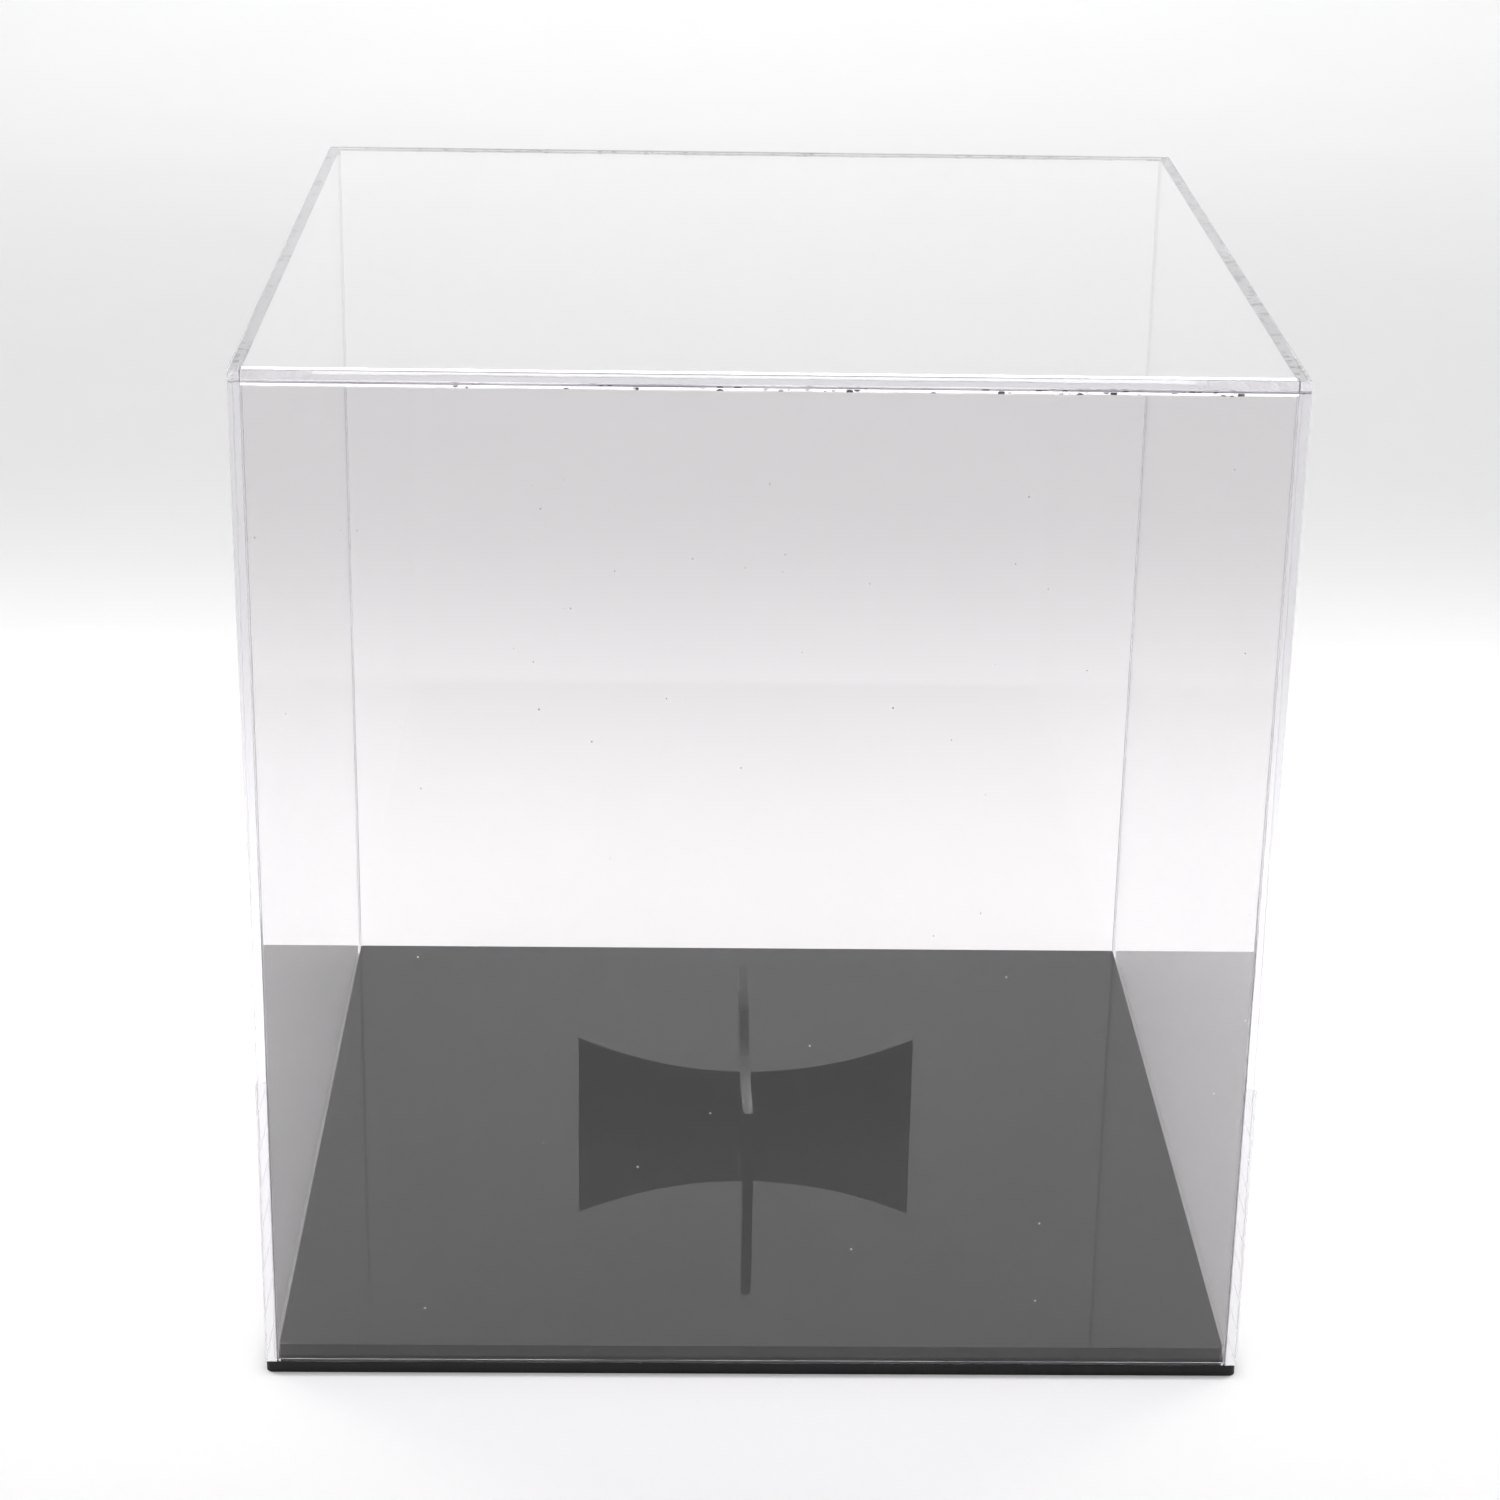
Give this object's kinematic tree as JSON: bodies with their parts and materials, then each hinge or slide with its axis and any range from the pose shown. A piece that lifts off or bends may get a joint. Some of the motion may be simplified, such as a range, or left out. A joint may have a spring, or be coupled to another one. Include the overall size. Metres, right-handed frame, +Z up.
{
  "type": "ball display case",
  "caption": "Clear square ball display case: a lift-off box cover of flat sheets on a black stepped base, with a cross-shaped cradle stand inside.",
  "frame": {"origin": "centre of the base plate's underside", "axes": "+Z up, +X to the right seen from the front, front face towards -Y"},
  "size_m": [0.26, 0.262, 0.276],
  "materials": {
    "clear_sheet": "clear cast acrylic sheet, polished faces and edges",
    "black_base": "black cast acrylic, mirror gloss",
    "black_stand": "black acrylic, gloss faces with laser-cut edges"
  },
  "bodies": {
    "base": {"base_plate": "black_base", "locating_plate": "black_base"},
    "cover": {"left_wall": "clear_sheet", "right_wall": "clear_sheet", "front_wall": "clear_sheet", "back_wall": "clear_sheet", "top_sheet": "clear_sheet"},
    "stand": {"stand_plate_side_to_side": "black_stand"},
    "stand_upper_plate": {"stand_plate_front_to_back": "black_stand"}
  },
  "joints": [
    {"name": "cover_lift", "type": "slide", "parent": "base", "child": "cover", "axis": [0, 0, 1], "range_m": [0, 0.28]},
    {"name": "stand_lift", "type": "slide", "parent": "base", "child": "stand", "axis": [0, 0, 1], "range_m": [0, 0.05]},
    {"name": "stand_plate_pull", "type": "slide", "parent": "stand", "child": "stand_upper_plate", "axis": [0, 0, 1], "range_m": [0, 0.03]}
  ]
}
